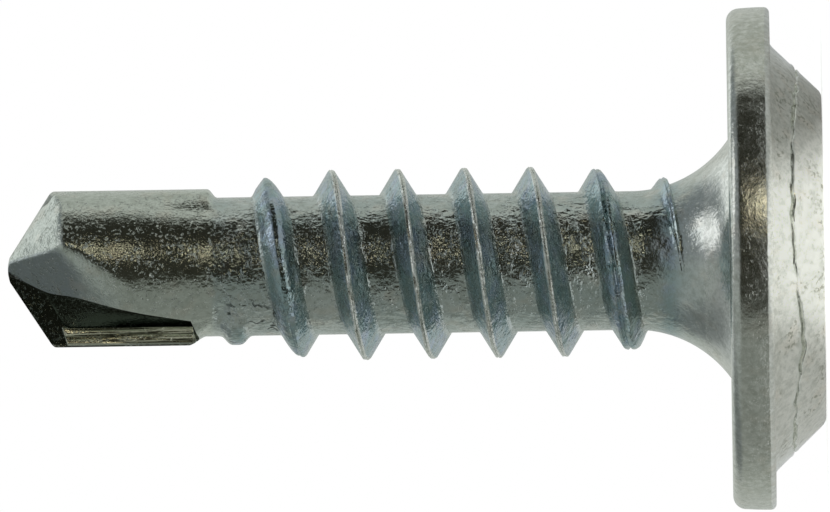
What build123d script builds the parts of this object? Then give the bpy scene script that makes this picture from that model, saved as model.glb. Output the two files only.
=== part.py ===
"""Wafer-head self-drilling screw, No. 8-18 x 5/8 inch, forged and rolled from one piece of wire.

The origin is the centre of the flat bearing face under the head. +Z runs along the shank to the
drill point, and the head lies below the origin. Lengths are millimetres, angles are degrees.
"""

import os
from math import acos, degrees, radians, sin, tan

from build123d import *

# Head: a thin flange, a low cone on it and a flat top
flange_diameter = 10.70
flange_thickness = 0.92
flange_rim_crown = 0.05
flange_bearing_edge_radius = 0.28
flange_cone_edge_radius = 0.12
cone_base_diameter = 9.08
cone_top_diameter = 7.00
head_height = 2.00
head_top_edge_radius = 0.04

# Cross recess, size 2, in the flat top: four wings and the slanting ribs between them
recess_mouth_diameter = 4.30
recess_floor_diameter = 2.30
recess_end_taper = 26.5
recess_floor_angle = 140.0
recess_mouth_wing_width = 1.30
recess_floor_wing_width = 0.98
recess_mouth_rib_width = 2.60
recess_floor_rib_width = 1.48

# Neck: a concave flare, tangent to the shank, that meets the bearing face at a line
neck_radius = 2.53
neck_base_diameter = 5.08

# Rolled thread, right-hand, 18 turns to the inch, with a crest over +X near the bearing face's plane
gauge_length = 25.4
gauge_turns = 18
pitch = gauge_length / gauge_turns
thread_major_diameter = 4.06
thread_root_diameter = 2.95
thread_flank_angle = 31.0
thread_crest_width = 0.07
thread_crest_offset = -0.02

# First turns: the crest comes out of the neck, runs on at a low height and then rises to full
thread_start = 0.95
thread_start_diameter = 3.40
thread_emerging_length = 1.15
thread_low_length = 0.55
thread_low_diameter = 3.80
thread_rising_length = 0.55

# Last turns: the crest drops from full, runs on at a low height and fades out at the drill
thread_dropping_length = 0.80
thread_blunt_length = 0.65
thread_blunt_diameter = 3.75
thread_fading_length = 0.93

# Pinched drill point
under_head_length = 15.35
drill_diameter = 3.32
drill_body_length = 4.27
drill_shoulder_length = 0.20
drill_shoulder_radius = 0.10
point_angle = 114.0
chisel_edge_length = 0.53
chisel_edge_crown = 0.04
lip_corner_width = 0.09
lip_corner_length = 0.30

# Heel relief: a flat that starts just above the tip and falls away behind each lip
heel_relief_along_lip = 10.4
heel_relief_across_lip = 39.6
heel_relief_above_tip = 0.02

# Two straight flutes, pinched in from opposite sides
lip_setback = 0.03
web_at_tip = 0.22
heel_wall_spread = 12.5
heel_wall_lean = 9.5
flute_end_to_shoulder = 0.37
flute_run_out_length = 0.42
flute_run_out_depth = 1.33

# Hollow in each flute: it opens behind the flat lip and leaves a land along the edge
land_width = 0.40
hollow_depth = 0.30
hollow_side_width = 0.34
hollow_start_drop = 0.62
hollow_start_width = 0.10
hollow_start_depth = 0.02
hollow_full_drop = 1.30

# How far a cutting or buried shape runs past the surface that it meets
overrun = 0.15

# Derived sizes
flange_radius = flange_diameter / 2
rim_corner_radius = flange_radius - flange_rim_crown
thread_major_radius = thread_major_diameter / 2
thread_root_radius = thread_root_diameter / 2
drill_radius = drill_diameter / 2
drill_shoulder_z = under_head_length - drill_body_length
shank_end_z = drill_shoulder_z - drill_shoulder_length
chisel_half = chisel_edge_length / 2
chisel_z = under_head_length - chisel_edge_crown
lip_corner_r = drill_radius - lip_corner_width
lip_corner_z = chisel_z - (lip_corner_r - chisel_half) / tan(radians(point_angle / 2))
drill_body_end_z = lip_corner_z - lip_corner_length
flute_end_z = drill_shoulder_z + flute_end_to_shoulder
half_turn = pitch / 2


def turned_blank():
    """Head, neck, shank and drill body, before the thread, recess and flutes."""
    flare_width = neck_base_diameter / 2 - thread_root_radius
    flare_turn = acos(1 - flare_width / neck_radius)
    neck_centre = (thread_root_radius + neck_radius, neck_radius * sin(flare_turn))
    with BuildPart() as blank:
        with BuildSketch(Plane.XZ) as half_section:
            with BuildLine():
                flare = CenterArc(neck_centre, neck_radius, 180, degrees(flare_turn))
                rim = ThreePointArc(
                    (rim_corner_radius, -flange_thickness),
                    (flange_radius, -flange_thickness / 2),
                    (rim_corner_radius, 0),
                )
                Polyline(
                    rim @ 0,
                    (cone_base_diameter / 2, -flange_thickness),
                    (cone_top_diameter / 2, -head_height),
                    (0, -head_height),
                    (0, under_head_length),
                    (chisel_half, chisel_z),
                    (lip_corner_r, lip_corner_z),
                    (drill_radius, drill_body_end_z),
                    (drill_radius, drill_shoulder_z),
                    (thread_root_radius, shank_end_z),
                    flare @ 0,
                )
                Line(flare @ 1, rim @ 1)
            make_face()
            corners = half_section.vertices()
            cone_side_corner, bearing_corner = corners.sort_by(Axis.X)[-2:].sort_by(Axis.Y)
            top_corner = corners.group_by(Axis.Y)[0].sort_by(Axis.X)[-1]
            shoulder_corner = corners.sort_by_distance((drill_radius, drill_shoulder_z))[0]
            fillet(bearing_corner, radius=flange_bearing_edge_radius)
            fillet(cone_side_corner, radius=flange_cone_edge_radius)
            fillet(top_corner, radius=head_top_edge_radius)
            fillet(shoulder_corner, radius=drill_shoulder_radius)
        revolve(axis=Axis.Z)
    return blank.part


def crest_envelope():
    """A spindle that the rolled crests just fill: it is lower over the first and last turns."""
    beyond = thread_major_radius + overrun
    low_radius = thread_low_diameter / 2
    blunt_radius = thread_blunt_diameter / 2
    low_z = thread_start + thread_emerging_length
    rising_z = low_z + thread_low_length
    fading_z = shank_end_z - thread_fading_length
    blunt_z = fading_z - thread_blunt_length
    with BuildPart() as envelope:
        with BuildSketch(Plane.XZ):
            with BuildLine():
                Polyline(
                    (0, thread_start),
                    (thread_start_diameter / 2, thread_start),
                    (low_radius, low_z),
                    (low_radius, rising_z),
                    (beyond, rising_z + thread_rising_length),
                    (beyond, blunt_z - thread_dropping_length),
                    (blunt_radius, blunt_z),
                    (blunt_radius, fading_z),
                    (thread_root_radius - 2 * overrun, shank_end_z),
                    (0, shank_end_z),
                    close=True,
                )
            make_face()
        revolve(axis=Axis.Z)
    return envelope.part


def thread_half_turns():
    """The ridge in half turns, each swept along its own helix and trimmed to the crests."""
    buried_radius = thread_root_radius - overrun
    crest_half = thread_crest_width / 2
    flank_run = (thread_major_radius - buried_radius) * tan(radians(thread_flank_angle))
    with BuildPart() as ridge:
        with BuildLine() as helix:
            Helix(pitch=pitch, height=half_turn, radius=thread_root_radius)
        with BuildSketch(Plane.XZ) as section:
            with BuildLine():
                Polyline(
                    (buried_radius, -crest_half - flank_run),
                    (thread_major_radius, -crest_half),
                    (thread_major_radius, crest_half),
                    (buried_radius, crest_half + flank_run),
                    close=True,
                )
            make_face()
        sweep(sections=section.sketch, path=helix.line, is_frenet=True)
    envelope = crest_envelope()
    first = int((thread_start - thread_crest_offset) / half_turn)
    last = int((shank_end_z - thread_crest_offset) / half_turn)
    trimmed = []
    for step in range(first, last + 1):
        height = thread_crest_offset + step * half_turn
        with BuildPart() as piece:
            add(ridge.part.moved(Location((0, 0, height), (0, 0, 180 * step))))
            add(envelope, mode=Mode.INTERSECT)
        trimmed.append(piece.part)
    return trimmed


def cross_recess():
    """A tapered cross inside a pointed cone, entering from below the flat top."""
    end_slope = tan(radians(recess_end_taper))
    wing_depth = (recess_mouth_diameter - recess_floor_diameter) / 2 / end_slope
    tip_depth = wing_depth + recess_floor_diameter / 2 / tan(radians(recess_floor_angle / 2))
    entry_diameter = recess_mouth_diameter + 2 * overrun * end_slope
    wing_taper = (recess_floor_wing_width - recess_mouth_wing_width) / wing_depth
    rib_taper = (recess_floor_rib_width - recess_mouth_rib_width) / wing_depth
    with BuildPart() as recess:
        for depth in (-overrun, tip_depth):
            wing = recess_mouth_wing_width + depth * wing_taper
            rib = recess_mouth_rib_width + depth * rib_taper
            with BuildSketch(Plane.XY.offset(depth - head_height)):
                Rectangle(entry_diameter, wing)
                Rectangle(wing, entry_diameter)
                Rectangle(rib, rib, rotation=45)
        loft(ruled=True)
        with BuildSketch(Plane.XZ):
            with BuildLine():
                Polyline(
                    (0, -head_height - overrun),
                    (entry_diameter / 2, -head_height - overrun),
                    (recess_floor_diameter / 2, wing_depth - head_height),
                    (0, tip_depth - head_height),
                    close=True,
                )
            make_face()
        revolve(axis=Axis.Z, mode=Mode.INTERSECT)
    return recess.part


def heel_root(height):
    """Where a heel wall meets the plane of the lips: the web thickens towards the shank."""
    return -web_at_tip / 2 - (under_head_length - height) * tan(radians(heel_wall_spread))


def flute():
    """The flute on the -Y side: a flat behind the lip and a leaning heel wall, open outwards."""
    reach = 2 * drill_radius
    lean = tan(radians(heel_wall_lean))
    stations = (
        (under_head_length + overrun, 0),
        (flute_end_z, 0),
        (flute_end_z - flute_run_out_length, flute_run_out_depth),
    )
    with BuildPart() as cut:
        for height, rise in stations:
            root = heel_root(height) - rise
            flat = lip_setback - rise
            with BuildSketch(Plane.XY.offset(height)):
                with BuildLine():
                    Polyline(
                        (-reach, -reach),
                        (-reach, flat),
                        (root, flat),
                        (root - lean * (reach + flat), -reach),
                        close=True,
                    )
                make_face()
        loft(ruled=True)
    return cut.part


def flute_hollow():
    """The deeper part of that flute: it widens from the heel wall until only the land is left."""
    start_z = under_head_length - hollow_start_drop
    full_z = under_head_length - hollow_full_drop
    land_edge = land_width - drill_radius
    stations = (
        (start_z, heel_root(start_z) - hollow_start_width, hollow_start_depth),
        (full_z, land_edge, hollow_depth),
        (flute_end_z, land_edge, hollow_depth),
    )
    with BuildPart() as cut:
        for height, edge, depth in stations:
            root = heel_root(height)
            side = min(hollow_side_width, (root - edge) / 3)
            with BuildSketch(Plane.XY.offset(height)):
                with BuildLine():
                    Polyline(
                        (edge, -overrun),
                        (edge, lip_setback),
                        (edge + side, lip_setback + depth),
                        (root - side, lip_setback + depth),
                        (root, -overrun),
                        close=True,
                    )
                make_face()
        loft(ruled=True)
    return cut.part


with BuildPart() as screw:
    add(turned_blank())
    for ridge in thread_half_turns():
        add(ridge)
    add(cross_recess(), mode=Mode.SUBTRACT)
    with PolarLocations(0, 2):
        add(flute(), mode=Mode.SUBTRACT)
        add(flute_hollow(), mode=Mode.SUBTRACT)
    slope_along = tan(radians(heel_relief_along_lip))
    slope_across = tan(radians(heel_relief_across_lip))
    relief_start = (0, 0, under_head_length + heel_relief_above_tip)
    for side in (1, -1):
        relief = Plane(relief_start, z_dir=(-side * slope_along, -side * slope_across, 1))
        split(bisect_by=relief, keep=Keep.BOTTOM)

os.makedirs("parts", exist_ok=True)
screw.part.label = "screw"
export_step(screw.part, "parts/screw.step")
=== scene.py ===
import math
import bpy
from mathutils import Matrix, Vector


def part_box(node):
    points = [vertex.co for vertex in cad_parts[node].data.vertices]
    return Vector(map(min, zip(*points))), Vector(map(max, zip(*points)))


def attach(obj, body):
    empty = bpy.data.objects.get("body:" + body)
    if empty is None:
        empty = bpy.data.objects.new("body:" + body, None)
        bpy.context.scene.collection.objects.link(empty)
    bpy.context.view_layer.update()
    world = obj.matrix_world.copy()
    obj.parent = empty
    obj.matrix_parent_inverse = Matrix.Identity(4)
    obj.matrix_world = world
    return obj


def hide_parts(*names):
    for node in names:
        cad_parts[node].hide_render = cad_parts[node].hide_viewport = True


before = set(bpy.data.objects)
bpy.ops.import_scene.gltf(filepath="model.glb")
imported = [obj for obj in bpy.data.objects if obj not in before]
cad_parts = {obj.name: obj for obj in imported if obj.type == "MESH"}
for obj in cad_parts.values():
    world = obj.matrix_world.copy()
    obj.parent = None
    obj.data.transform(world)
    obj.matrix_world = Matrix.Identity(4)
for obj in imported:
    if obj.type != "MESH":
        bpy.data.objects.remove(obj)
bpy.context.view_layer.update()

from types import SimpleNamespace

import bmesh
import bpy
import numpy as np
from mathutils import Matrix, Vector

# ---------------------------------------------------------------------------------------------
# Sizes, in metres. z is 0 on the bearing face under the head and grows towards the drill point.
# The box of the CAD screw gives the overall ones, and the skin stays a sliver inside it.
# ---------------------------------------------------------------------------------------------
MM = 0.001
screw_low, screw_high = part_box("screw")
SLIVER = 0.002 * MM
TIP_Z = screw_high.z - SLIVER
HEAD_TOP_Z = screw_low.z
FLANGE_R = min(-screw_low.x, screw_high.x, -screw_low.y, screw_high.y) - SLIVER

# Head: a flange with a full rim, a low cone on it and a flat top
FLANGE_THICKNESS = 0.92 * MM
RIM_CROWN = 0.02 * MM
BEARING_EDGE_R = 0.28 * MM
CONE_SIDE_EDGE_R = 0.12 * MM
CONE_BASE_R = 4.54 * MM
CONE_TOP_R = 3.50 * MM
TOP_EDGE_R = 0.05 * MM
CONE_RISE = -FLANGE_THICKNESS - HEAD_TOP_Z
CONE_MIDDLE_Z = HEAD_TOP_Z + CONE_RISE / 2

# Forging seam: its course round the cone, as (degrees from the -Y side, height in mm)
SEAM_COURSE = (
    (-180, -1.42), (-150, -1.50), (-115, -1.38), (-79, -1.30), (-48, -1.35), (-27, -1.54), (-22, -1.53),
    (-9.5, -1.42), (9, -1.34), (35, -1.35), (70, -1.47), (105, -1.44), (140, -1.36), (180, -1.42),
)
# The groove along it, as (height off the seam, depth) in mm; a depth below 0 is a raised lip
SEAM_GROOVE = (
    (-0.090, 0.0), (-0.055, -0.018), (-0.034, 0.004), (0.0, 0.075),
    (0.026, 0.020), (0.050, -0.026), (0.100, 0.0),
)
SEAM_SHAKE = 0.012 * MM

# Cross recess: half sizes at the mouth and at the floor
RECESS_DEPTH = 2.0 * MM
RECESS_REACH = (2.15 * MM, 1.153 * MM)
RECESS_WING = (0.65 * MM, 0.49 * MM)
RECESS_RIB = (1.838 * MM, 1.0465 * MM)
RECESS_TIP = 0.42 * MM

# Neck: a concave flare from the shank to the bearing face
NECK_R = 2.53 * MM
NECK_BASE_R = 2.54 * MM

# Rolled thread, right-handed, 18 turns to the inch
PITCH = 25.4 * MM / 18
MAJOR_R = 2.03 * MM
ROOT_R = 1.475 * MM
ROOT_FILLET = 0.055 * MM
FLANK_SLOPE = math.tan(math.radians(31.0))
CREST_HALF = 0.035 * MM
CREST_OFFSET = -0.02 * MM
CREST_ROUNDING = 0.03 * MM
# How high the crests rise, as (height, radius) in mm: the first and last turns are low
CREST_LIMITS = (
    (0.60, 1.60), (0.95, 1.70), (1.45, 1.80), (2.10, 1.90), (2.65, 1.90), (3.20, 2.18),
    (8.50, 2.18), (9.30, 1.87), (9.87, 1.88), (10.05, 1.66), (10.22, 1.30),
)
# The ridge has steeper sides until it has formed, and is blunt once it starts to fade
FORMED_Z = (1.45 * MM, 1.95 * MM)
FORMING_STEEPNESS = 0.30
FADING_Z = (9.0 * MM, 9.6 * MM)
FADING_RISE = 0.02 * MM
FADING_ROUNDING = 0.22 * MM
# Rolled-in lap, as (depth, place, half width): open on the first turns, a fine crack on the others
LAP = (0.060 * MM, 0.02 * MM, 0.035 * MM)
LAP_STARTS_Z = (0.95 * MM, 1.2 * MM)
LAP_CLOSES_Z = (3.0 * MM, 3.35 * MM)
CRACK = (0.026 * MM, 0.006 * MM, 0.014 * MM)
# How much the rolled ridge wanders to the sides, slowly and fast, and up and down
RIDGE_SWAY = 0.012 * MM
RIDGE_SHAKE = 0.006 * MM
RIDGE_RIPPLE = 0.008 * MM

# Drill body: it starts oval, and its shoulder lies further along on the -X side
DRILL_R = 1.66 * MM
SHOULDER_Z = TIP_Z - 4.27 * MM
SHANK_END_Z = SHOULDER_Z - 0.20 * MM
OVAL_LENGTH = 2.2 * MM
SHOULDER_SHIFT = 0.44 * MM
SHOULDER_SHIFT_AT_FOOT = 0.6

# Lump and dent beside the shoulder, where the flutes were pinched
LUMP_Z = SHANK_END_Z - 0.37 * MM
LUMP_HEIGHT = 0.19 * MM
LUMP_LENGTH = 0.24 * MM
DENT_Z = SHANK_END_Z - 0.10 * MM
DENT_ANGLE = math.radians(-134)
DENT_DEPTH = 0.12 * MM
DENT_LENGTH = 0.24 * MM
DENT_SPREAD = 0.24

# Drill point: a relieved cone with a crowned chisel edge
POINT_SLOPE = math.tan(math.radians(57.0))
POINT_RELIEF = 0.20
POINT_ROUNDING = 0.10 * MM
CHISEL_HALF = 0.265 * MM
CHISEL_CROWN = 0.04 * MM
# Heel face: the plane z = tip + above + along * x + across * y, and its half-turn copy
HEEL_FACE = (0.061 * MM, 1.044, 1.044)
# Its edge is sharp at the tip and gets rounder over these drops below the tip
HEEL_EDGE_DROPS = (0.85 * MM, 1.45 * MM)
HEEL_EDGE_WIDTHS = (0.04 * MM, 0.54 * MM)

# Flutes: a flat land beside the lip, a hollow and a leaning heel wall that swells a little
LIP_SETBACK = 0.03 * MM
WEB_AT_TIP = 0.22 * MM
HEEL_SPREAD = math.tan(math.radians(12.5))
HEEL_LEAN = math.tan(math.radians(9.5))
HEEL_SWELL = 0.12 * MM
HEEL_SWELL_DROP = 0.85 * MM
HEEL_SWELL_LENGTH = 0.45 * MM
LAND_WIDTH = 0.40 * MM
HOLLOW_DEPTH = 0.30 * MM
HOLLOW_START_DROP = 0.62 * MM
HOLLOW_OPEN_DROP = 1.30 * MM
HOLLOW_DEEP_DROP = 2.6 * MM
HOLLOW_ROUNDNESS = 0.35
FLUTE_END_Z = SHOULDER_Z + 0.37 * MM
FLUTE_RUN_OUT_LENGTH = 0.42 * MM
FLUTE_RUN_OUT_DEPTH = 1.33 * MM

# Mesh: columns round the screw, then the places of the rows on the head, thread and drill
COLUMNS = 224
TOP_ROWS_R = (0.8 * MM, 1.5 * MM, CONE_TOP_R - TOP_EDGE_R)
FLANGE_ROWS_R = (CONE_BASE_R + 0.02 * MM, CONE_BASE_R + 0.25 * MM, FLANGE_R - RIM_CROWN - CONE_SIDE_EDGE_R)
BEARING_ROWS_R = (FLANGE_R - RIM_CROWN - BEARING_EDGE_R - 0.1 * MM, NECK_BASE_R + 0.03 * MM)
HELIX_START_Z = 0.03 * MM
SIDE_OF_CREST_MM = (0.62, 0.54, 0.47, 0.42, 0.385, 0.35, 0.31, 0.25, 0.19, 0.13, 0.08, 0.047, 0.022)
SHOULDER_ROWS_END_Z = SHOULDER_Z + 0.12 * MM
BODY_ROWS_Z = (SHOULDER_Z + 0.2 * MM, TIP_Z - 1.25 * MM)
POINT_ROWS_Z = (TIP_Z - 1.2 * MM, TIP_Z - CHISEL_CROWN)
CHISEL_SHARES = (1.0, 0.75, 0.5, 0.28, 0.12, 0.04)
SHARP_EDGE_ANGLE = math.radians(32)


# ---------------------------------------------------------------------------------------------
# Small helpers
# ---------------------------------------------------------------------------------------------
def smoothstep(low, high, value):
    """0 below low, 1 above high, smooth between."""
    share = np.clip((value - low) / (high - low), 0.0, 1.0)
    return share * share * (3.0 - 2.0 * share)


def bell(value, centre, width):
    """1 at the centre, falling away smoothly to both sides."""
    return np.exp(-((value - centre) / width) ** 2)


def soft_min(a, b, width):
    """The smaller of a and b, with the corner between them rounded over width."""
    share = np.clip(0.5 + 0.5 * (b - a) / width, 0.0, 1.0)
    return b * (1 - share) + a * share - width * share * (1 - share)


def soft_max(a, b, width):
    """The larger of a and b, with the corner between them rounded over width."""
    return -soft_min(-a, -b, width)


def turned(x, y, turn):
    """The point (x, y) turned about the screw's axis."""
    return math.cos(turn) * x - math.sin(turn) * y, math.sin(turn) * x + math.cos(turn) * y


def mesh_object(name, verts, faces):
    mesh = bpy.data.meshes.new(name)
    mesh.from_pydata([tuple(v) for v in verts], [], faces)
    mesh.validate()
    mesh.update()
    obj = bpy.data.objects.new(name, mesh)
    bpy.context.scene.collection.objects.link(obj)
    return obj


# ---------------------------------------------------------------------------------------------
# The surface of the shank and drill as a radius for each angle and height
# ---------------------------------------------------------------------------------------------
def neck_radius(z):
    """The concave flare from the shank to the bearing face."""
    turn = math.acos(1 - (NECK_BASE_R - ROOT_R) / NECK_R)
    centre_z = NECK_R * math.sin(turn)
    reach = np.clip(centre_z - z, 0.0, centre_z)
    return ROOT_R + NECK_R - np.sqrt(NECK_R ** 2 - reach ** 2)


def crest_limit(z):
    """How high the crests rise: low where the thread starts and ends."""
    heights, radii = np.array(CREST_LIMITS).T * MM
    return np.interp(z, heights, radii)


def ripple(angle, z, waves, phase):
    """A gentle unevenness, about -1 to 1, that runs on smoothly along the thread."""
    run = angle + math.tau * np.round(z / PITCH - angle / math.tau)
    slow = np.sin(waves * run * 0.37 + phase)
    middle = np.sin(waves * run * 0.61 + 2.3 * phase)
    fast = np.sin(waves * run * 1.07 + 4.1 * phase)
    return (slow + middle + 0.6 * fast) / 2.6


def thread_radius(angle, z):
    """The rolled ridge: straight flanks and a narrow crest with a lap rolled into it."""
    turns = (z - CREST_OFFSET) / PITCH - angle / math.tau
    off_crest = (turns - np.round(turns)) * PITCH
    wander = RIDGE_SWAY * ripple(angle, z, 5.0, 0.3) + RIDGE_SHAKE * ripple(angle, z, 17.0, 1.1)
    off_crest = off_crest + wander

    forming = 1 - smoothstep(*FORMED_Z, z)
    fading = smoothstep(*FADING_Z, z)
    limit = crest_limit(z)
    slope = FLANK_SLOPE * (1 - FORMING_STEEPNESS * forming)
    high = MAJOR_R + (limit - MAJOR_R) * forming
    flank = high - np.maximum(np.abs(off_crest) - CREST_HALF, 0.0) / slope
    ridge = soft_min(flank, limit + FADING_RISE * fading, CREST_ROUNDING + FADING_ROUNDING * fading)

    lap_depth, *lap_place = LAP
    crack_depth, *crack_place = CRACK
    open_lap = smoothstep(*LAP_STARTS_Z, z) * (1 - smoothstep(*LAP_CLOSES_Z, z))
    lap = lap_depth * open_lap * bell(off_crest, *lap_place)
    crack = crack_depth * (1 - open_lap) * (1 - fading) * bell(off_crest, *crack_place)
    return ridge - lap - crack + RIDGE_RIPPLE * ripple(angle, z, 23.0, 2.0)


def shank_radius(angle, z):
    """Neck, root and thread together, with a flat-topped lump and a dent beside the shoulder."""
    on_minus_x_side = smoothstep(0.72, 0.99, -np.cos(angle))
    lump = LUMP_HEIGHT * np.exp(-((z - LUMP_Z) / LUMP_LENGTH) ** 4) * on_minus_x_side
    aside = np.mod(angle - DENT_ANGLE + math.pi, math.tau) - math.pi
    dent = DENT_DEPTH * bell(z, DENT_Z, DENT_LENGTH) * bell(aside, 0.0, DENT_SPREAD)
    return soft_max(neck_radius(z) + lump - dent, thread_radius(angle, z), ROOT_FILLET)


def heel_reach(side, angle, z):
    """How far out the heel face lies at each angle; side -1 is its half-turn copy."""
    above, along, across = HEEL_FACE
    far = 4 * DRILL_R
    fall = -side * (along * np.cos(angle) + across * np.sin(angle))
    reach = (TIP_Z + above - z) / np.maximum(fall, 1e-3)
    reach = np.where(fall > 1e-3, np.minimum(reach, far), far)
    past_lip = smoothstep(-0.50, -0.30, side * np.sin(angle))
    return reach + (far - reach) * past_lip


def point_radius(angle, z):
    """The drill point: a body that starts oval, the relieved cone and the two heel faces."""
    long_way = smoothstep(0.78, 1.0, np.abs(np.cos(angle)))
    full = long_way + (1 - long_way) * smoothstep(SHANK_END_Z, SHANK_END_Z + OVAL_LENGTH, z)
    body = ROOT_R + (DRILL_R - ROOT_R) * full
    below_crown = TIP_Z - CHISEL_CROWN - z
    slope = POINT_SLOPE * (1 - POINT_RELIEF * smoothstep(0.0, 0.6, np.abs(np.sin(angle))))
    cone = CHISEL_HALF + below_crown * slope
    crown = CHISEL_HALF * np.sqrt(np.clip((TIP_Z - z) / CHISEL_CROWN, 0.0, None))
    radius = soft_min(body, np.where(below_crown > 0, cone, crown), POINT_ROUNDING)
    sharp, blunt = HEEL_EDGE_WIDTHS
    width = sharp + (blunt - sharp) * smoothstep(*HEEL_EDGE_DROPS, TIP_Z - z)
    for side in (1, -1):
        radius = soft_min(radius, heel_reach(side, angle, z), width)
    return np.maximum(radius, 0.0)


def outer_radius(angle, z):
    """Radius of the whole shank and drill at an angle and a height."""
    shift = SHOULDER_SHIFT * smoothstep(0.75, 0.97, -np.cos(angle))
    step = smoothstep(SHANK_END_Z + SHOULDER_SHIFT_AT_FOOT * shift, SHOULDER_Z + shift, z)
    return shank_radius(angle, z) * (1 - step) + point_radius(angle, z) * step


# ---------------------------------------------------------------------------------------------
# The head's profile
# ---------------------------------------------------------------------------------------------
def seam_height(angle):
    """The forging seam wanders round the cone: its height at each angle."""
    from_camera_side = np.degrees((angle + math.pi / 2 + math.pi) % math.tau - math.pi)
    degrees, heights = np.array(SEAM_COURSE).T
    shake = SEAM_SHAKE * (np.sin(31 * angle) + np.sin(47 * angle + 2.0))
    return np.interp(from_camera_side, degrees, heights * MM) + shake


def cone_rows(angle):
    """Rows from the flat top to the cone's base; the middle ones follow the seam's groove."""
    seam = seam_height(angle)
    sink = 0.75 + 0.25 * np.sin(9 * angle + 1.0) + 0.15 * np.sin(23 * angle)
    rows = [(HEAD_TOP_Z + share * CONE_RISE, 0.0, 2 * share) for share in np.linspace(0.04, 0.40, 6)]
    rows += [(CONE_MIDDLE_Z + offset * MM, depth * MM, 1.0) for offset, depth in SEAM_GROOVE]
    rows += [(HEAD_TOP_Z + share * CONE_RISE, 0.0, 2 - 2 * share) for share in np.linspace(0.62, 0.94, 6)]
    for z, depth, follow in rows:
        height = z + (seam - CONE_MIDDLE_Z) * min(1.0, follow)
        share = (height - HEAD_TOP_Z) / CONE_RISE
        radius = CONE_TOP_R + share * (CONE_BASE_R - CONE_TOP_R)
        yield radius - depth * sink, height


def arc(centre_r, centre_z, radius, turns):
    """Points (radius, height) on an arc, for turns in degrees."""
    return [(centre_r + radius * math.cos(turn), centre_z + radius * math.sin(turn))
            for turn in np.radians(turns)]


def rim_profile():
    """The flange's edge from the cone side to the bearing side: two round corners, a full middle."""
    side_r = FLANGE_R - RIM_CROWN
    low_z = -FLANGE_THICKNESS + CONE_SIDE_EDGE_R
    high_z = -BEARING_EDGE_R
    points = arc(FLANGE_R - CONE_SIDE_EDGE_R, low_z, CONE_SIDE_EDGE_R, np.linspace(-80, 0, 9))
    for share in np.linspace(0.03, 0.97, 6):
        points.append((side_r + RIM_CROWN * (1 - share ** 2), low_z + share * (high_z - low_z)))
    return points + arc(side_r - BEARING_EDGE_R, high_z, BEARING_EDGE_R, np.linspace(0, 90, 10))


# ---------------------------------------------------------------------------------------------
# Building the skin: circular rows for the head and drill, rows along the helix for the thread
# ---------------------------------------------------------------------------------------------
class Skin:
    """Collects vertices and faces of one closed turned surface."""

    def __init__(self, first_angle):
        self.angles = first_angle + math.tau * np.arange(COLUMNS) / COLUMNS
        self.verts = []
        self.faces = []
        self.last = None

    def add_round(self, radius, angle, z):
        """Points at a radius, angle and height each; gives their numbers."""
        start = len(self.verts)
        x, y = radius * np.cos(angle), radius * np.sin(angle)
        self.verts.extend(zip(x.tolist(), y.tolist(), z.tolist()))
        return list(range(start, len(self.verts)))

    def add_centre(self, z):
        return self.add_round(0.0, np.zeros(1), np.full(1, z))[0]

    def ring(self, radius, z):
        """A circular row joined to the row before it."""
        row = self.add_round(radius, self.angles, np.broadcast_to(z, self.angles.shape))
        if self.last is not None:
            for c in range(COLUMNS):
                d = (c + 1) % COLUMNS
                self.faces.append((self.last[c], self.last[d], row[d], row[c]))
        self.last = row

    def fan_out(self, radius, z):
        """The first row, joined to a centre point."""
        centre = self.add_centre(z)
        self.ring(radius, z)
        for c in range(COLUMNS):
            self.faces.append((centre, self.last[(c + 1) % COLUMNS], self.last[c]))

    def close_at(self, z):
        """The last centre point, joined to the row before it."""
        centre = self.add_centre(z)
        for c in range(COLUMNS):
            self.faces.append((centre, self.last[c], self.last[(c + 1) % COLUMNS]))

    def helix_block(self, offsets, turn_rows, top_z):
        """Rows that climb one pitch a turn, from the last circular row up to a new one at top_z.

        offsets holds the heights of the rows above the block's start, and turn_rows of them fit in
        one pitch. The block starts and ends in a wedge of rows that closes up to nothing.
        """
        bottom = self.last
        start_z = self.verts[bottom[0]][2]
        rows = len(offsets) - 1
        total = 2 * turn_rows + rows
        wedge = offsets[: turn_rows + 1]
        top_wedge = PITCH + offsets[rows - turn_rows :] - offsets[rows]
        top_heights = np.full(COLUMNS, top_z)
        top = self.add_round(outer_radius(self.angles, top_heights), self.angles, top_heights)
        columns = []
        for c in range(COLUMNS):
            climb = c / COLUMNS
            z = np.concatenate([
                start_z + climb * wedge[:-1],
                start_z + climb * PITCH + offsets[:-1],
                start_z + climb * PITCH + offsets[-1] + (1 - climb) * top_wedge,
            ])
            first = turn_rows + 1 if c == 0 else 1
            inner = z[first:total]
            angle = np.full(inner.shape, self.angles[c])
            ids = self.add_round(outer_radius(angle, inner), angle, inner)
            columns.append([bottom[c]] * first + ids + [top[c]])
        columns.append([columns[0][min(q + turn_rows, total)] for q in range(total + 1)])
        for here, there in zip(columns[:-1], columns[1:]):
            for q in range(total):
                corners = (here[q], there[q], there[q + 1], here[q + 1])
                unique = tuple(dict.fromkeys(corners))
                if len(unique) > 2:
                    self.faces.append(unique)
        self.last = top


def turn_offsets():
    """Row heights within one pitch, from mid-land to mid-land, close together on the crest."""
    half = np.array([PITCH / 2, *(off * MM for off in SIDE_OF_CREST_MM)])
    return np.concatenate([-half, [0.0], half[::-1]])


def add_head(skin):
    """Flat top, cone, flange and bearing face."""
    fan_r, first_r, last_r = TOP_ROWS_R
    skin.fan_out(fan_r, HEAD_TOP_Z)
    for radius in np.linspace(first_r, last_r, 6):
        skin.ring(radius, HEAD_TOP_Z)
    for radius, z in cone_rows(skin.angles):
        skin.ring(radius, z)
    for radius in FLANGE_ROWS_R:
        skin.ring(radius, -FLANGE_THICKNESS)
    for radius, z in rim_profile():
        skin.ring(radius, z)
    for radius in np.linspace(*BEARING_ROWS_R, 12):
        skin.ring(radius, 0.0)


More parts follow.
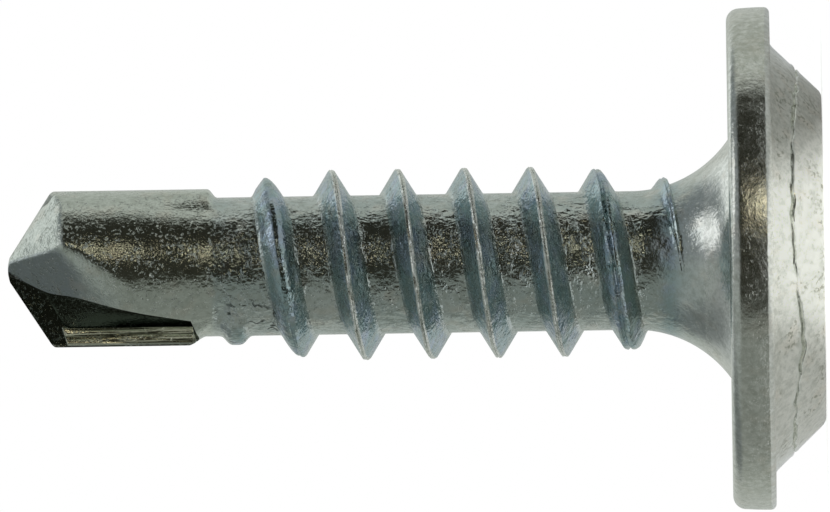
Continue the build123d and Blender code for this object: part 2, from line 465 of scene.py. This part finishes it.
def add_shank(skin):
    """Neck and thread, on rows that follow the helix; gives the height where they end."""
    for z in (0.0, HELIX_START_Z):
        skin.ring(neck_radius(z), z)
    one_turn = turn_offsets() + PITCH / 2
    turn_rows = len(one_turn) - 1
    steps = np.concatenate([one_turn[:-1] + k * PITCH for k in range(8)])
    reach = SHANK_END_Z - HELIX_START_Z - PITCH
    offsets = steps[steps < reach - 0.02 * MM]
    top_z = HELIX_START_Z + PITCH + offsets[-1]
    skin.helix_block(offsets, turn_rows, top_z)
    return top_z


def add_drill(skin, shank_top_z):
    """Shoulder, drill body and point."""
    heights = np.concatenate([
        np.linspace(shank_top_z + 0.03 * MM, SHOULDER_ROWS_END_Z, 10),
        np.linspace(*BODY_ROWS_Z, 26),
        np.linspace(*POINT_ROWS_Z, 36)[:-1],
        TIP_Z - CHISEL_CROWN * np.array(CHISEL_SHARES),
    ])
    for z in heights:
        skin.ring(outer_radius(skin.angles, np.full(COLUMNS, z)), z)
    skin.close_at(TIP_Z)


def build_skin():
    """The whole turned surface, before the flutes and the recess are cut."""
    turns_to_start = (HELIX_START_Z + PITCH / 2 - CREST_OFFSET) / PITCH
    skin = Skin(math.tau * turns_to_start)
    add_head(skin)
    shank_top_z = add_shank(skin)
    add_drill(skin, shank_top_z)
    return mesh_object("screw_skin", skin.verts, skin.faces)


# ---------------------------------------------------------------------------------------------
# Cutting the flutes and the recess
# ---------------------------------------------------------------------------------------------
def strip_solid(name, sections):
    """A closed solid through sections, each the same number of (x, y, z) corners in order."""
    count = len(sections[0])
    verts = [corner for section in sections for corner in section]
    faces = []
    for start in range(0, len(verts) - count, count):
        for i in range(count):
            j = (i + 1) % count
            faces.append((start + i, start + j, start + count + j, start + count + i))
    faces.append(tuple(range(count))[::-1])
    faces.append(tuple(range(len(verts) - count, len(verts))))
    obj = mesh_object(name, verts, faces)
    bm = bmesh.new()
    bm.from_mesh(obj.data)
    bmesh.ops.recalc_face_normals(bm, faces=bm.faces)
    bm.to_mesh(obj.data)
    bm.free()
    return obj


def heel_root(drop):
    """Where the heel wall meets the plane of the lips, at a drop below the tip."""
    swell = HEEL_SWELL * bell(drop, HEEL_SWELL_DROP, HEEL_SWELL_LENGTH)
    return -WEB_AT_TIP / 2 - drop * HEEL_SPREAD - swell


def flute_outline(z):
    """The flute on the -Y side at one height: the flat, the hollow and the heel wall."""
    reach = 2 * DRILL_R
    drop = TIP_Z - z
    rise = max(0.0, (FLUTE_END_Z - z) / FLUTE_RUN_OUT_LENGTH) * FLUTE_RUN_OUT_DEPTH
    root = heel_root(drop) - rise
    flat = LIP_SETBACK - rise
    land_edge = LAND_WIDTH - DRILL_R - rise
    edge = root + (land_edge - root) * smoothstep(HOLLOW_START_DROP, HOLLOW_OPEN_DROP, drop)
    depth = HOLLOW_DEPTH * smoothstep(HOLLOW_START_DROP, HOLLOW_DEEP_DROP, drop)
    outline = [(-reach, -reach)]
    for x in np.linspace(-reach, edge, 8):
        outline.append((x, flat))
    for share in np.linspace(0.05, 0.95, 9):
        sag = depth * math.sin(math.pi * share) ** HOLLOW_ROUNDNESS
        outline.append((edge + share * (root - edge), flat + sag + 1e-6))
    for share in np.linspace(0, 1, 10):
        out = share * (reach + flat)
        outline.append((root - HEEL_LEAN * out, flat - out))
    return outline


def flute_cutter(turn):
    """One flute, turned into place, from beyond the tip to its run-out."""
    heights = np.concatenate([
        np.linspace(TIP_Z + 0.1 * MM, FLUTE_END_Z, 60),
        FLUTE_END_Z - np.linspace(0.03 * MM, FLUTE_RUN_OUT_LENGTH, 10),
    ])
    sections = [[(*turned(x, y, turn), z) for x, y in flute_outline(z)] for z in heights]
    return strip_solid("flute_cutter", sections)


def cross_outline(reach, wing, rib, z):
    """One level of the recess: reach of a wing, half its width and the corner of the rib."""
    corners = [(reach, wing), (rib - wing, wing), (wing, rib - wing), (wing, reach)]
    return [(*turned(x, y, quarter * math.pi / 2), z) for quarter in range(4) for x, y in corners]


def recess_cutter():
    """The cross recess: four tapered wings with small ribs between them and a shallow point."""
    shape = (RECESS_REACH, RECESS_WING, RECESS_RIB)
    sections = []
    for share in (-0.05, 0.0, 0.5, 1.0):
        level = [mouth + share * (floor - mouth) for mouth, floor in shape]
        sections.append(cross_outline(*level, HEAD_TOP_Z + share * RECESS_DEPTH))
    for share in (0.5, 0.97):
        level = [floor * (1 - share) for mouth, floor in shape]
        sections.append(cross_outline(*level, HEAD_TOP_Z + RECESS_DEPTH + share * RECESS_TIP))
    return strip_solid("recess_cutter", sections)


def subtract(obj, cutter):
    """Cuts the cutter out of obj, in millimetres, since the solver needs numbers near 1."""
    for mesh in (obj.data, cutter.data):
        mesh.transform(Matrix.Scale(1 / MM, 4))
    bpy.context.view_layer.update()
    modifier = obj.modifiers.new("cut", "BOOLEAN")
    modifier.operation = "DIFFERENCE"
    modifier.solver = "MANIFOLD"
    modifier.object = cutter
    depsgraph = bpy.context.evaluated_depsgraph_get()
    cut = bpy.data.meshes.new_from_object(obj.evaluated_get(depsgraph))
    obj.modifiers.clear()
    cut.transform(Matrix.Scale(MM, 4))
    obj.data = cut
    bpy.data.objects.remove(cutter)


def make_screw():
    """The visible screw: the turned skin with its two flutes and the recess cut out."""
    piece = build_skin()
    for turn in (0.0, math.pi):
        subtract(piece, flute_cutter(turn))
    subtract(piece, recess_cutter())
    for polygon in piece.data.polygons:
        polygon.use_smooth = True
    piece.data.set_sharp_from_angle(angle=SHARP_EDGE_ANGLE)
    piece.data.materials.clear()
    piece.data.materials.append(zinc())
    return piece


# ---------------------------------------------------------------------------------------------
# Node trees
# ---------------------------------------------------------------------------------------------
class Tree:
    """Shorthand for building one node tree."""

    def __init__(self, owner):
        owner.use_nodes = True
        self.nodes = owner.node_tree.nodes
        self.links = owner.node_tree.links

    def add(self, kind, **settings):
        node = self.nodes.new(kind)
        for key, value in settings.items():
            setattr(node, key, value)
        return node

    def feed(self, socket, value):
        """Sets a socket, or links it when value is another node's output."""
        if isinstance(value, bpy.types.NodeSocket):
            self.links.new(value, socket)
        else:
            socket.default_value = value

    def xyz(self, vector):
        node = self.add("ShaderNodeSeparateXYZ")
        self.feed(node.inputs[0], vector)
        return node.outputs

    def math(self, operation, a, b=0.0, c=0.0):
        node = self.add("ShaderNodeMath", operation=operation)
        for socket, value in zip(node.inputs, (a, b, c)):
            self.feed(socket, value)
        return node.outputs[0]

    def product(self, *values):
        result = values[0]
        for value in values[1:]:
            result = self.math("MULTIPLY", result, value)
        return result

    def total(self, *values):
        result = values[0]
        for value in values[1:]:
            result = self.math("ADD", result, value)
        return result

    def spread(self, value, low, high, to_low=0.0, to_high=1.0, smooth=True):
        """value taken from low..high to to_low..to_high."""
        node = self.add("ShaderNodeMapRange")
        if smooth:
            node.interpolation_type = "SMOOTHSTEP"
        for socket, number in zip(node.inputs, (value, low, high, to_low, to_high)):
            self.feed(socket, number)
        return node.outputs[0]

    def fade(self, value, low, high):
        """1 where value is below low, 0 where it is above high."""
        return self.spread(value, low, high, 1.0, 0.0)

    def dot(self, a, b):
        node = self.add("ShaderNodeVectorMath", operation="DOT_PRODUCT")
        self.feed(node.inputs[0], a)
        self.feed(node.inputs[1], b)
        return node.outputs["Value"]

    def blend(self, share, a, b):
        """Colour a where share is 0, colour b where it is 1."""
        node = self.add("ShaderNodeMix", data_type="RGBA")
        self.feed(node.inputs["Factor"], share)
        self.feed(node.inputs[6], a)
        self.feed(node.inputs[7], b)
        return node.outputs[2]

    def noise(self, place, size, detail=2.0, rough=0.5, stretch=None):
        """Noise with features of about size millimetres, optionally stretched along an axis."""
        if stretch is not None:
            node = self.add("ShaderNodeVectorMath", operation="MULTIPLY")
            self.feed(node.inputs[0], place)
            node.inputs[1].default_value = stretch
            place = node.outputs[0]
        node = self.add("ShaderNodeTexNoise")
        self.feed(node.inputs["Vector"], place)
        node.inputs["Scale"].default_value = 1.0 / (size * MM)
        node.inputs["Detail"].default_value = detail
        node.inputs["Roughness"].default_value = rough
        return node.outputs["Fac"]


# ---------------------------------------------------------------------------------------------
# Zinc-plated steel: its colours, then the places of its marks
# ---------------------------------------------------------------------------------------------
PLATING_DULL = (0.55, 0.62, 0.605, 1)
PLATING_BRIGHT = (0.66, 0.71, 0.69, 1)
DRILL_OLIVE = (0.67, 0.71, 0.65, 1)
# Painted shade: a darker grey for the heel faces
HEEL_SHADE_GREY = (0.43, 0.465, 0.46, 1)
RIDGE_GREEN = (0.38, 0.50, 0.52, 1)
RIDGE_BLUE = (0.50, 0.57, 0.74, 1)
# Painted highlight: a pale colour that makes the crest lines bright
CREST_HIGHLIGHT_PALE = (0.86, 0.88, 0.84, 1)
HEAD_PALE = (0.84, 0.85, 0.80, 1)
SPECK_GREY = (0.36, 0.385, 0.33, 1)
BLOTCH_GREY = (0.38, 0.41, 0.355, 1)
WARM_FILM = (0.80, 0.70, 0.58, 1)
# Painted shade: near black for the shadowed hollows of the flutes
FLUTE_SHADE_DARK = (0.07, 0.09, 0.07, 1)
LINE_DARK = (0.30, 0.30, 0.22, 1)
LINE_PALE = (1.0, 0.97, 0.78, 1)
CRACK_DARK = (0.05, 0.06, 0.05, 1)
FLANGE_STAIN = (0.46, 0.47, 0.40, 1)
CONE_SPECK = (0.32, 0.33, 0.26, 1)
HEEL_SHOWS_Z = (TIP_Z - 1.9 * MM, TIP_Z - 1.3 * MM)
HOLLOW_SHOWS_Z = (TIP_Z - 0.95 * MM, TIP_Z - 0.60 * MM)
LAND_ENDS_Z = (TIP_Z - 0.78 * MM, TIP_Z - 0.75 * MM)
BURRS_START_Z = (SHANK_END_Z - 1.58 * MM, SHANK_END_Z - 1.28 * MM)
BURRS_END_Z = (SHANK_END_Z - 0.28 * MM, SHANK_END_Z + 0.02 * MM)
RELIEF_HEIGHT = 0.0042 * MM


def mark_flutes(tree, at):
    """The hollows of the flutes, painted near black as shade, and the lands beside them."""
    facing = tree.math("MULTIPLY", at.y, tree.math("SIGN", at.x))
    heel_side = tree.spread(at.z, *HOLLOW_SHOWS_Z, -0.42 * MM, -0.045 * MM)
    inside = tree.product(tree.fade(at.radius, DRILL_R - 0.08 * MM, DRILL_R - 0.03 * MM),
                          tree.fade(facing, 0.02 * MM, 0.06 * MM),
                          tree.math("GREATER_THAN", facing, heel_side),
                          tree.spread(at.z, FLUTE_END_Z - 0.1 * MM, FLUTE_END_Z))
    across = tree.math("ABSOLUTE", at.x)
    slanted_z = tree.math("MULTIPLY_ADD", across, 0.3, at.z)
    land_starts = DRILL_R - LAND_WIDTH
    at.land = tree.product(tree.spread(across, land_starts - 0.04 * MM, land_starts + 0.01 * MM), inside,
                           tree.fade(tree.math("ABSOLUTE", at.y), 0.06 * MM, 0.10 * MM),
                           tree.fade(slanted_z, *LAND_ENDS_Z))
    # Painted shade: the hollows, apart from the lands, are coloured near black
    at.soot = tree.math("MULTIPLY", inside, tree.math("SUBTRACT", 1.0, at.land))


def mark_heel_shade(tree, at):
    """The two heel faces, found by their distance from the sloping plane; they get a painted shade."""
    above, along, across = HEEL_FACE
    side = tree.math("SIGN", tree.math("MULTIPLY", at.y, -1.0))
    face = tree.math("MULTIPLY_ADD", tree.math("MULTIPLY", at.x, along), side, TIP_Z + above)
    face = tree.math("MULTIPLY_ADD", tree.math("MULTIPLY", at.y, across), side, face)
    off_face = tree.math("ABSOLUTE", tree.math("SUBTRACT", face, at.z))
    at.heel = tree.product(tree.fade(off_face, 0.03 * MM, 0.14 * MM), tree.spread(at.z, *HEEL_SHOWS_Z))


def mark_burrs(tree, at):
    """The torn patch on the last turn, beside the lump, and the broken cracks in it."""
    at.burrs = tree.product(tree.spread(at.z, *BURRS_START_Z), tree.fade(at.z, *BURRS_END_Z),
                            tree.fade(at.x, -0.90 * MM, -0.60 * MM), tree.fade(at.y, 0.0, 0.3 * MM))
    torn = tree.math("ABSOLUTE", tree.math("SUBTRACT", tree.noise(at.place, 0.55), 0.5))
    broken = tree.spread(tree.noise(at.place, 0.30, 1.0), 0.46, 0.56)
    at.cracks = tree.product(tree.fade(torn, 0.008, 0.026), at.burrs, broken)


def mark_places(tree):
    """Where the parts of the screw are: each is 1 on its own part and fades to 0 off it."""
    at = SimpleNamespace(place=tree.add("ShaderNodeTexCoord").outputs["Object"])
    at.x, at.y, at.z = tree.xyz(at.place)
    at.radius = tree.math("SQRT", tree.total(tree.product(at.x, at.x), tree.product(at.y, at.y)))
    at.head = tree.fade(at.z, 0.2 * MM, 1.2 * MM)
    at.cone = tree.product(tree.fade(at.z, -1.05 * MM, -0.95 * MM),
                           tree.spread(at.radius, 2.4 * MM, 2.9 * MM))
    at.flange = tree.spread(at.radius, 4.2 * MM, 4.6 * MM)
    at.rim = tree.spread(at.radius, FLANGE_R - 0.34 * MM, FLANGE_R - 0.09 * MM)
    at.drill = tree.spread(at.z, SHANK_END_Z, SHOULDER_Z)
    at.ridge = tree.product(tree.spread(at.radius, ROOT_R + 0.02 * MM, ROOT_R + 0.14 * MM),
                            tree.spread(at.z, 0.9 * MM, 1.4 * MM),
                            tree.fade(at.z, SHANK_END_Z - 0.38 * MM, SHANK_END_Z - 0.18 * MM))
    at.root = tree.product(tree.fade(at.radius, ROOT_R + 0.02 * MM, ROOT_R + 0.10 * MM),
                           tree.spread(at.z, 1.4 * MM, 2.4 * MM),
                           tree.fade(at.z, SHANK_END_Z, SHOULDER_Z))
    at.crest = tree.product(tree.spread(at.radius, MAJOR_R - 0.055 * MM, MAJOR_R - 0.02 * MM),
                            tree.spread(at.z, 0.2 * MM, 0.6 * MM))
    at.specks = tree.fade(tree.noise(at.place, 0.08, 3.0, 0.65), 0.28, 0.55)
    at.lines = tree.noise(at.place, 0.085, 1.0, 0.6, (1.0, 1.0, 0.05))
    mark_flutes(tree, at)
    mark_heel_shade(tree, at)
    mark_burrs(tree, at)
    return at


def zinc_colour(tree, at):
    """Blue-white zinc, mottled: olive on the drill, blue-green on the ridges, pale on the head; painted
    shade in the flute hollows and on the heel faces, and painted highlights on the crests.
    """
    broad = tree.spread(tree.noise(at.place, 0.9, 3.0, 0.6), 0.35, 0.65)
    bluish = tree.spread(tree.noise(at.place, 0.5), 0.45, 0.62)
    blotches = tree.fade(tree.noise(at.place, 0.17, 3.0, 0.7), 0.34, 0.60)
    warm = tree.spread(tree.noise(at.place, 0.45), 0.52, 0.72)
    drawn = tree.blend(tree.spread(at.lines, 0.42, 0.60), LINE_DARK, LINE_PALE)
    stains = tree.spread(tree.noise(at.place, 0.12, 4.0, 0.7), 0.36, 0.62)
    worn = tree.spread(at.x, 3.2 * MM, 4.9 * MM, 0.38, 0.62)
    dark = tree.spread(tree.noise(at.place, 0.10, 2.0, 0.6), 0.52, 0.64)
    patches = tree.spread(tree.noise(at.place, 0.9), 0.44, 0.62)
    colour = tree.blend(broad, PLATING_DULL, PLATING_BRIGHT)
    for share, tint in (
        (at.drill, DRILL_OLIVE),
        # Painted shade: the heel faces are tinted darker grey
        (at.heel, HEEL_SHADE_GREY),
        (at.ridge, RIDGE_GREEN),
        (tree.product(bluish, at.ridge, 0.55), RIDGE_BLUE),
        # Painted highlight along the crests
        (at.crest, CREST_HIGHLIGHT_PALE),
        (at.head, HEAD_PALE),
        (tree.product(at.specks, 0.20), SPECK_GREY),
        (tree.product(blotches, 0.38), BLOTCH_GREY),
        (tree.product(warm, 0.20), WARM_FILM),
        # Painted shade in the flute hollows
        (tree.product(at.soot, 0.88), FLUTE_SHADE_DARK),
        (at.land, drawn),
        (tree.product(at.cracks, 0.85), CRACK_DARK),
        (tree.product(at.flange, stains, worn), FLANGE_STAIN),
        (tree.product(at.cone, dark, patches, 0.75), CONE_SPECK),
    ):
        colour = tree.blend(share, colour, tint)
    return colour


def zinc_roughness(tree, at):
    """Satin plating, rougher where it is mottled, on the crests and on the rim."""
    mottled = tree.spread(tree.noise(at.place, 0.25, 3.0, 0.6), 0.3, 0.7, 0.07, 0.15)
    return tree.total(mottled, tree.product(at.specks, 0.06), tree.product(at.crest, 0.16),
                      tree.product(at.rim, 0.08))


def zinc_relief(tree, at):
    """Grain everywhere, swells on the head, dents and pits on the shank, lines on the lands."""
    grain = tree.noise(at.place, 0.055, 2.0, 0.6)
    mottle = tree.noise(at.place, 0.16, 2.0, 0.55)
    swells = tree.noise(at.place, 0.34)
    on_head = tree.product(tree.spread(at.radius, 2.4 * MM, 2.9 * MM), tree.fade(at.z, -0.1 * MM, 0.2 * MM))
    dents = tree.noise(at.place, 0.13, 2.0, 0.5, (1.0, 1.0, 0.7))
    patches = tree.spread(tree.noise(at.place, 0.7, 1.0), 0.38, 0.66, 0.25, 1.0)
    on_shank = tree.product(tree.spread(at.z, 0.4 * MM, 2.4 * MM, 0.10, 1.0),
                            tree.spread(at.z, SHANK_END_Z - 1.08 * MM, SHOULDER_Z + 0.42 * MM, 1.0, 0.25))
    dented = tree.math("MAXIMUM", tree.product(patches, on_shank), at.burrs)
    rolled = tree.noise(at.place, 0.060, 1.0, 0.5, (0.22, 0.22, 1.0))
    pits = tree.spread(tree.noise(at.place, 0.065, 2.0, 0.6), 0.57, 0.66)
    depth = tree.product(tree.spread(tree.noise(at.place, 0.28, 2.0, 0.6), 0.42, 0.66, 0.3, 5.5),
                         tree.spread(at.z, 1.6 * MM, 2.6 * MM, 0.10, 1.0))
    height = 0.0
    for pattern, strength in (
        (grain, tree.spread(at.z, 0.3 * MM, 2.0 * MM, 0.8, 2.2)),
        (mottle, tree.spread(at.z, -0.25 * MM, 0.1 * MM, 0.9, 0.4)),
        (mottle, tree.spread(at.z, 1.4 * MM, 2.4 * MM, 0.0, 1.2)),
        (swells, tree.product(on_head, 2.0)),
        (dents, tree.product(dented, 15.0)),
        (at.cracks, -6.0),
        (rolled, tree.product(at.root, depth, 0.9)),
        (pits, tree.product(depth, -1.0)),
        (at.lines, tree.product(at.land, 14.0)),
    ):
        height = tree.math("MULTIPLY_ADD", pattern, strength, height)
    return height


def zinc():
    material = bpy.data.materials.new("zinc_plated_steel")
    tree = Tree(material)
    shader = tree.nodes["Principled BSDF"]
    at = mark_places(tree)
    shader.inputs["Metallic"].default_value = 1.0
    tree.feed(shader.inputs["Base Color"], zinc_colour(tree, at))
    tree.feed(shader.inputs["Roughness"], zinc_roughness(tree, at))
    bump = tree.add("ShaderNodeBump")
    bump.inputs["Strength"].default_value = 1.0
    bump.inputs["Distance"].default_value = RELIEF_HEIGHT
    tree.feed(bump.inputs["Height"], zinc_relief(tree, at))
    tree.feed(shader.inputs["Normal"], bump.outputs[0])
    return material


# ---------------------------------------------------------------------------------------------
# Camera
# ---------------------------------------------------------------------------------------------
IMAGE_WIDTH = 830
PIXELS_PER_METRE = 47030.0
SENSOR_WIDTH = 36.0
CAMERA_ROLL = math.radians(0.9)
CAMERA_DISTANCE = 0.40
CAMERA_PLACE = Vector((0.169 * MM, -CAMERA_DISTANCE, 0.2 * MM))
CAMERA_TARGET = Vector((0.169 * MM, 0.0, 6.685 * MM))


def add_camera():
    """The screw is seen from the -Y side, with its point to the left and +X up."""
    data = bpy.data.cameras.new("camera")
    camera = bpy.data.objects.new("camera", data)
    bpy.context.scene.collection.objects.link(camera)
    right = Vector((-math.sin(CAMERA_ROLL), 0.0, -math.cos(CAMERA_ROLL)))
    back = (CAMERA_PLACE - CAMERA_TARGET).normalized()
    right = (right - back * right.dot(back)).normalized()
    up = back.cross(right)
    camera.matrix_world = Matrix((
        (right.x, up.x, back.x, CAMERA_PLACE.x),
        (right.y, up.y, back.y, CAMERA_PLACE.y),
        (right.z, up.z, back.z, CAMERA_PLACE.z),
        (0, 0, 0, 1),
    ))
    seen_width = IMAGE_WIDTH / PIXELS_PER_METRE
    data.sensor_width = SENSOR_WIDTH
    data.lens = SENSOR_WIDTH * (CAMERA_PLACE - CAMERA_TARGET).length / seen_width
    data.clip_start = 0.01
    data.clip_end = 10.0
    bpy.context.scene.camera = camera


# ---------------------------------------------------------------------------------------------
# Studio: the light round the screw, as (degrees from the -Y side towards +X, colour)
# ---------------------------------------------------------------------------------------------
# At the screw's own height: a pale room all round, with a dark gap on the camera's side
LEVEL_LIGHT = (
    (-180, (0.55, 0.58, 0.55)), (-125, (0.42, 0.45, 0.42)), (-95, (0.25, 0.27, 0.25)),
    (-32, (0.23, 0.25, 0.23)), (-20, (0.032, 0.032, 0.024)), (80, (0.026, 0.026, 0.020)),
    (96, (0.60, 0.63, 0.60)), (112, (0.45, 0.48, 0.45)), (150, (0.55, 0.58, 0.55)),
    (180, (0.55, 0.58, 0.55)),
)
# Towards the drill point: soft panels
OVERHEAD_LIGHT = (
    (-180, (0.62, 0.66, 0.66)), (-150, (0.36, 0.39, 0.39)), (-120, (0.27, 0.29, 0.29)),
    (-80, (0.30, 0.33, 0.32)), (-20, (0.32, 0.35, 0.34)), (14, (0.26, 0.28, 0.29)),
    (40, (0.26, 0.28, 0.29)), (90, (0.19, 0.21, 0.22)), (128, (0.23, 0.26, 0.27)),
    (150, (0.92, 0.97, 0.97)), (170, (0.66, 0.70, 0.70)), (180, (0.62, 0.66, 0.66)),
)
# Where one gives way to the other, as the upward share of the direction
OVERHEAD_STARTS = (0.32, 0.66)
# A small lamp and a dark card, each in its direction from the screw and with a soft edge
LAMP_DIRECTION = (0.348, -0.098, 0.932)
LAMP_EDGE = (0.955, 0.985)
LAMP_LIGHT = (1.05, 1.08, 1.10, 1)
CARD_DIRECTION = (-0.684, 0.316, 0.656)
CARD_EDGE = (0.86, 0.985)
CARD_LIGHT = (0.17, 0.19, 0.19, 1)
# A narrow warm reflector in the dark gap
STRIP_START = (math.radians(15), math.radians(21))
STRIP_END = (math.radians(27), math.radians(36))
STRIP_HALF_HEIGHT = (0.03, 0.06)
STRIP_LIGHT = (2.10, 1.92, 1.42, 1)

# The floor's own white, as the camera sees it and as the metal mirrors it
FLOOR_Z = HEAD_TOP_Z - 0.01 * MM
FLOOR_HALF_SIZE = 16 * MM
FLOOR_OWN_WHITE = 0.72
FLOOR_MIRRORED_WHITE = 0.13
# A painted pool of light on the floor, seen only in the metal: a patch on the camera's side and a lighter
# side towards -X
FLOOR_LIGHT_POOL_X = 0.35 * MM
FLOOR_LIGHT_POOL_EDGE = (1.1 * MM, 2.9 * MM)
FLOOR_LIGHT_POOL_WHITE = 0.52
FLOOR_SIDE_LIGHT_WHITE = 0.14


def direction_ramp(tree, angle, stops):
    """A colour for each angle round the screw, from (degrees, colour) stops."""
    ramp = tree.add("ShaderNodeValToRGB")
    tree.feed(ramp.inputs["Fac"], tree.spread(angle, -math.pi, math.pi, smooth=False))
    elements = ramp.color_ramp.elements
    while len(elements) > 1:
        elements.remove(elements[-1])
    for i, (degrees, colour) in enumerate(stops):
        share = (degrees + 180) / 360
        element = elements[0] if i == 0 else elements.new(share)
        element.position = share
        element.color = (*colour, 1)
    return ramp.outputs["Color"]


def studio_light(tree):
    """The light that comes from each direction."""
    direction = tree.add("ShaderNodeTexCoord").outputs["Generated"]
    x, y, z = tree.xyz(direction)
    angle = tree.math("ARCTAN2", x, tree.math("MULTIPLY", y, -1.0))
    level = direction_ramp(tree, angle, LEVEL_LIGHT)
    overhead = direction_ramp(tree, angle, OVERHEAD_LIGHT)
    card = tree.spread(tree.dot(direction, CARD_DIRECTION), *CARD_EDGE)
    lamp = tree.spread(tree.dot(direction, LAMP_DIRECTION), *LAMP_EDGE)
    strip = tree.product(tree.spread(angle, *STRIP_START), tree.fade(angle, *STRIP_END),
                         tree.fade(tree.math("ABSOLUTE", z), *STRIP_HALF_HEIGHT))
    light = tree.blend(tree.spread(z, *OVERHEAD_STARTS), level, overhead)
    light = tree.blend(card, light, CARD_LIGHT)
    light = tree.blend(lamp, light, LAMP_LIGHT)
    return tree.blend(strip, light, STRIP_LIGHT)


def add_world():
    """Soft studio light on the screw, and plain white behind it."""
    world = bpy.data.worlds.new("studio")
    bpy.context.scene.world = world
    tree = Tree(world)
    tree.nodes.clear()
    output = tree.add("ShaderNodeOutputWorld")
    studio = tree.add("ShaderNodeBackground")
    white = tree.add("ShaderNodeBackground")
    white.inputs["Color"].default_value = (1, 1, 1, 1)
    white.inputs["Strength"].default_value = 1.0
    mix = tree.add("ShaderNodeMixShader")
    tree.feed(mix.inputs["Fac"], tree.add("ShaderNodeLightPath").outputs["Is Camera Ray"])
    tree.feed(mix.inputs[1], studio.outputs[0])
    tree.feed(mix.inputs[2], white.outputs[0])
    tree.feed(output.inputs["Surface"], mix.outputs[0])
    tree.feed(studio.inputs["Color"], studio_light(tree))


def floor_mirror_light(tree):
    """How bright the metal mirrors the floor: an even white, with a painted pool of light on a patch on the
    camera's side and a painted lighter side towards -X.
    """
    x, y, _ = tree.xyz(tree.add("ShaderNodeTexCoord").outputs["Object"])
    off_patch = tree.math("ABSOLUTE", tree.math("SUBTRACT", x, FLOOR_LIGHT_POOL_X))
    patch = tree.product(tree.fade(off_patch, *FLOOR_LIGHT_POOL_EDGE), tree.fade(y, -2.0 * MM, 0.0))
    side = tree.spread(x, -3.0 * MM, -1.0 * MM, FLOOR_SIDE_LIGHT_WHITE, 0.0)
    return tree.total(tree.math("MULTIPLY_ADD", patch, FLOOR_LIGHT_POOL_WHITE, FLOOR_MIRRORED_WHITE), side)


def pale_floor():
    """Its own white shows to the camera and in the metal, its shadow stays, its back is clear."""
    material = bpy.data.materials.new("pale_floor")
    tree = Tree(material)
    shader = tree.nodes["Principled BSDF"]
    shader.inputs["Base Color"].default_value = (0.9, 0.9, 0.9, 1)
    shader.inputs["Roughness"].default_value = 0.8
    shader.inputs["Emission Color"].default_value = (1, 1, 1, 1)
    path = tree.add("ShaderNodeLightPath")
    seen = tree.product(path.outputs["Is Camera Ray"], FLOOR_OWN_WHITE)
    # The floor glows in the metal, with the painted pool of light
    mirrored = tree.product(path.outputs["Is Glossy Ray"], floor_mirror_light(tree))
    tree.feed(shader.inputs["Emission Strength"], tree.total(seen, mirrored))
    clear = tree.add("ShaderNodeBsdfTransparent")
    sides = tree.add("ShaderNodeMixShader")
    tree.feed(sides.inputs["Fac"], tree.add("ShaderNodeNewGeometry").outputs["Backfacing"])
    tree.feed(sides.inputs[1], shader.outputs[0])
    tree.feed(sides.inputs[2], clear.outputs[0])
    tree.feed(tree.nodes["Material Output"].inputs["Surface"], sides.outputs[0])
    return material


def add_floor():
    """A small pale board that the head stands on."""
    half = FLOOR_HALF_SIZE
    corners = [(x, y, FLOOR_Z) for x, y in ((-half, -half), (half, -half), (half, half), (-half, half))]
    floor = mesh_object("floor", corners, [(0, 1, 2, 3)])
    floor.data.materials.append(pale_floor())


add_camera()
screw = make_screw()
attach(screw, "root")
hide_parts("screw")
add_world()
add_floor()
bpy.context.scene.view_settings.view_transform = "Standard"
